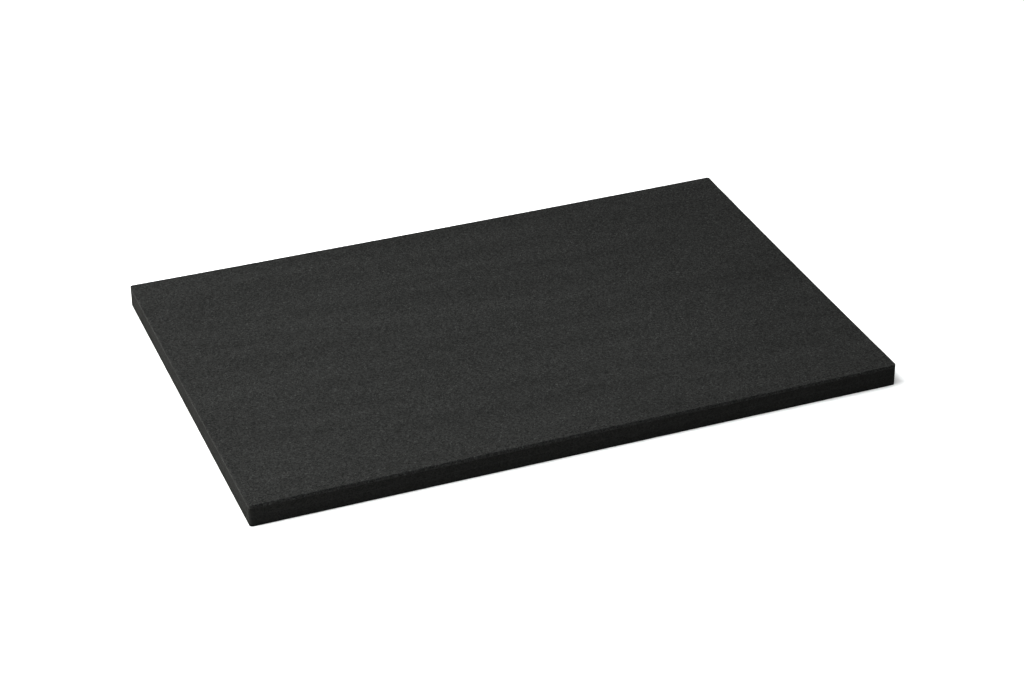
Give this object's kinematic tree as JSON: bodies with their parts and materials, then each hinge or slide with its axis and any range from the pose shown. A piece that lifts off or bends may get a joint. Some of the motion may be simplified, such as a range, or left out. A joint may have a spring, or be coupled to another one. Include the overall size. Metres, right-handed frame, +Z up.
{
  "type": "balance pad",
  "caption": "Flat rectangular balance pad of matt black closed-cell foam, bonded from sheets and cut square, its upper edges slightly drawn in; the soft core sinks underfoot and springs back.",
  "frame": {"origin": "centre of the underside, on the floor", "axes": "+Z up out of the standing face, X along the pad's length, Y across its width"},
  "size_m": [0.6, 0.4, 0.021],
  "materials": {
    "top_sheet": "matt charcoal closed-cell foam with a fine open grain and small pale specks",
    "core_foam": "matt charcoal closed-cell foam, smooth cut edge",
    "base_sheet": "matt charcoal closed-cell foam with a fine grip grain underneath",
    "bond_film": "thin black adhesive film"
  },
  "bodies": {
    "pad_base": {"base_sheet": "base_sheet", "base_bond_film": "bond_film", "lower_core_ply": "core_foam", "core_bond_film": "bond_film", "upper_core_ply": "core_foam"},
    "pad_top": {"top_bond_film": "bond_film", "top_sheet": "top_sheet"}
  },
  "joints": [
    {"name": "press", "type": "slide", "parent": "pad_base", "child": "pad_top", "axis": [0, 0, -1], "range_m": [0, 0.008], "stiffness_N_per_m": 100000, "deforming": ["lower_core_ply", "core_bond_film", "upper_core_ply"]}
  ]
}
